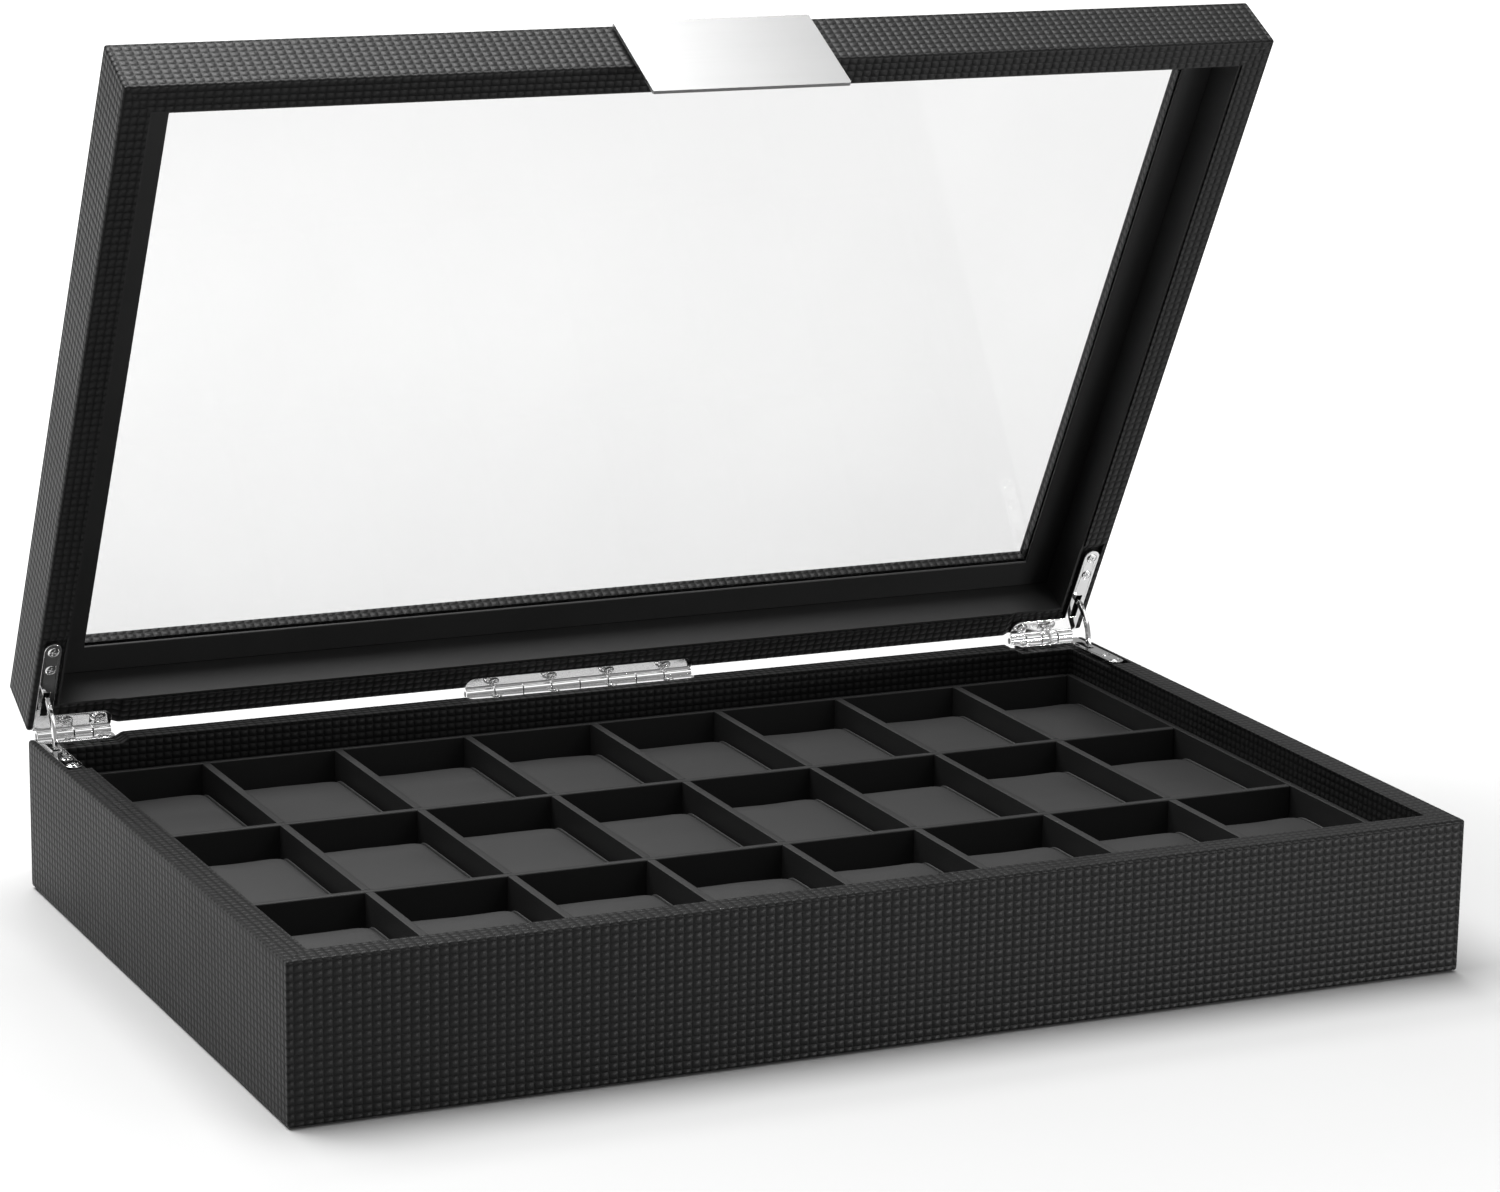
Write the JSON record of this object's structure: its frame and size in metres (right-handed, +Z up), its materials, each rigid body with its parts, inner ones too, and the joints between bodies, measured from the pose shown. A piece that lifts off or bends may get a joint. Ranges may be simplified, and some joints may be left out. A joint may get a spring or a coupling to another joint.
{
  "type": "watch box",
  "caption": "shallow wrapped watch box with a divided tray of lift-out pillows and a glazed lid on corner hinges with stay arms",
  "frame": {"origin": "middle of the base's bottom face, on the table", "axes": "+X to the right along the front, +Y to the back where the hinges are, +Z up"},
  "size_m": [0.5, 0.3546, 0.3722],
  "materials": {
    "weave_wrap": "woven-pattern embossed leatherette over board",
    "smooth_wrap": "smooth satin leatherette over board",
    "cushion": "satin wrap over soft filling",
    "felt": "short felt",
    "glass": "clear polished",
    "brushed_plate": "brushed across its width",
    "pad": "matte foam tape",
    "chrome": "polished"
  },
  "bodies": {
    "base": {"base_front": "weave_wrap", "base_back": "weave_wrap", "base_left": "weave_wrap", "base_right": "weave_wrap", "base_floor": "smooth_wrap", "bottom_felt": "felt", "tray_surround": "smooth_wrap", "long_divider_front": "smooth_wrap", "long_divider_rear": "smooth_wrap", "cross_divider_1": "smooth_wrap", "cross_divider_2": "smooth_wrap", "cross_divider_3": "smooth_wrap", "cross_divider_4": "smooth_wrap", "cross_divider_5": "smooth_wrap", "cross_divider_6": "smooth_wrap", "cross_divider_7": "smooth_wrap", "left_base_leaf": "chrome", "right_base_leaf": "chrome", "centre_base_leaf": "chrome", "hinge_pins": "chrome", "base_hinge_screws": "chrome"},
    "lid": {"lid_front": "weave_wrap", "lid_back": "weave_wrap", "lid_left": "weave_wrap", "lid_right": "weave_wrap", "lid_top_frame": "weave_wrap", "lid_liner": "smooth_wrap", "glass_pane": "glass", "glass_trim": "smooth_wrap", "front_plate": "brushed_plate", "plate_pad": "pad", "left_lid_leaf": "chrome", "right_lid_leaf": "chrome", "centre_lid_leaf": "chrome", "lid_hinge_screws": "chrome"},
    "stays": {"stay_arms": "chrome"},
    "pillow_1_1": {"pillow_1_1": "cushion"},
    "pillow_1_2": {"pillow_1_2": "cushion"},
    "pillow_1_3": {"pillow_1_3": "cushion"},
    "pillow_1_4": {"pillow_1_4": "cushion"},
    "pillow_1_5": {"pillow_1_5": "cushion"},
    "pillow_1_6": {"pillow_1_6": "cushion"},
    "pillow_1_7": {"pillow_1_7": "cushion"},
    "pillow_1_8": {"pillow_1_8": "cushion"},
    "pillow_2_1": {"pillow_2_1": "cushion"},
    "pillow_2_2": {"pillow_2_2": "cushion"},
    "pillow_2_3": {"pillow_2_3": "cushion"},
    "pillow_2_4": {"pillow_2_4": "cushion"},
    "pillow_2_5": {"pillow_2_5": "cushion"},
    "pillow_2_6": {"pillow_2_6": "cushion"},
    "pillow_2_7": {"pillow_2_7": "cushion"},
    "pillow_2_8": {"pillow_2_8": "cushion"},
    "pillow_3_1": {"pillow_3_1": "cushion"},
    "pillow_3_2": {"pillow_3_2": "cushion"},
    "pillow_3_3": {"pillow_3_3": "cushion"},
    "pillow_3_4": {"pillow_3_4": "cushion"},
    "pillow_3_5": {"pillow_3_5": "cushion"},
    "pillow_3_6": {"pillow_3_6": "cushion"},
    "pillow_3_7": {"pillow_3_7": "cushion"},
    "pillow_3_8": {"pillow_3_8": "cushion"}
  },
  "joints": [
    {"name": "lid_hinge", "type": "hinge", "parent": "base", "child": "lid", "pos_m": [0, 0.167, 0.06475], "axis": [-1, 0, 0], "range_deg": [-62, 35.5]},
    {"name": "stay_swing", "type": "hinge", "parent": "base", "child": "stays", "pos_m": [0, 0.167, 0.06475], "axis": [-1, 0, 0], "range_deg": [-31, 17.75]},
    {"name": "pillow_1_1_lift", "type": "slide", "parent": "base", "child": "pillow_1_1", "axis": [0, 0, 1], "range_m": [0, 0.048]},
    {"name": "pillow_1_2_lift", "type": "slide", "parent": "base", "child": "pillow_1_2", "axis": [0, 0, 1], "range_m": [0, 0.048]},
    {"name": "pillow_1_3_lift", "type": "slide", "parent": "base", "child": "pillow_1_3", "axis": [0, 0, 1], "range_m": [0, 0.048]},
    {"name": "pillow_1_4_lift", "type": "slide", "parent": "base", "child": "pillow_1_4", "axis": [0, 0, 1], "range_m": [0, 0.048]},
    {"name": "pillow_1_5_lift", "type": "slide", "parent": "base", "child": "pillow_1_5", "axis": [0, 0, 1], "range_m": [0, 0.048]},
    {"name": "pillow_1_6_lift", "type": "slide", "parent": "base", "child": "pillow_1_6", "axis": [0, 0, 1], "range_m": [0, 0.048]},
    {"name": "pillow_1_7_lift", "type": "slide", "parent": "base", "child": "pillow_1_7", "axis": [0, 0, 1], "range_m": [0, 0.048]},
    {"name": "pillow_1_8_lift", "type": "slide", "parent": "base", "child": "pillow_1_8", "axis": [0, 0, 1], "range_m": [0, 0.048]},
    {"name": "pillow_2_1_lift", "type": "slide", "parent": "base", "child": "pillow_2_1", "axis": [0, 0, 1], "range_m": [0, 0.048]},
    {"name": "pillow_2_2_lift", "type": "slide", "parent": "base", "child": "pillow_2_2", "axis": [0, 0, 1], "range_m": [0, 0.048]},
    {"name": "pillow_2_3_lift", "type": "slide", "parent": "base", "child": "pillow_2_3", "axis": [0, 0, 1], "range_m": [0, 0.048]},
    {"name": "pillow_2_4_lift", "type": "slide", "parent": "base", "child": "pillow_2_4", "axis": [0, 0, 1], "range_m": [0, 0.048]},
    {"name": "pillow_2_5_lift", "type": "slide", "parent": "base", "child": "pillow_2_5", "axis": [0, 0, 1], "range_m": [0, 0.048]},
    {"name": "pillow_2_6_lift", "type": "slide", "parent": "base", "child": "pillow_2_6", "axis": [0, 0, 1], "range_m": [0, 0.048]},
    {"name": "pillow_2_7_lift", "type": "slide", "parent": "base", "child": "pillow_2_7", "axis": [0, 0, 1], "range_m": [0, 0.048]},
    {"name": "pillow_2_8_lift", "type": "slide", "parent": "base", "child": "pillow_2_8", "axis": [0, 0, 1], "range_m": [0, 0.048]},
    {"name": "pillow_3_1_lift", "type": "slide", "parent": "base", "child": "pillow_3_1", "axis": [0, 0, 1], "range_m": [0, 0.048]},
    {"name": "pillow_3_2_lift", "type": "slide", "parent": "base", "child": "pillow_3_2", "axis": [0, 0, 1], "range_m": [0, 0.048]},
    {"name": "pillow_3_3_lift", "type": "slide", "parent": "base", "child": "pillow_3_3", "axis": [0, 0, 1], "range_m": [0, 0.048]},
    {"name": "pillow_3_4_lift", "type": "slide", "parent": "base", "child": "pillow_3_4", "axis": [0, 0, 1], "range_m": [0, 0.048]},
    {"name": "pillow_3_5_lift", "type": "slide", "parent": "base", "child": "pillow_3_5", "axis": [0, 0, 1], "range_m": [0, 0.048]},
    {"name": "pillow_3_6_lift", "type": "slide", "parent": "base", "child": "pillow_3_6", "axis": [0, 0, 1], "range_m": [0, 0.048]},
    {"name": "pillow_3_7_lift", "type": "slide", "parent": "base", "child": "pillow_3_7", "axis": [0, 0, 1], "range_m": [0, 0.048]},
    {"name": "pillow_3_8_lift", "type": "slide", "parent": "base", "child": "pillow_3_8", "axis": [0, 0, 1], "range_m": [0, 0.048]}
  ],
  "couplings": [
    {"joint": "stay_swing", "follows": "lid_hinge", "ratio": 0.5}
  ]
}
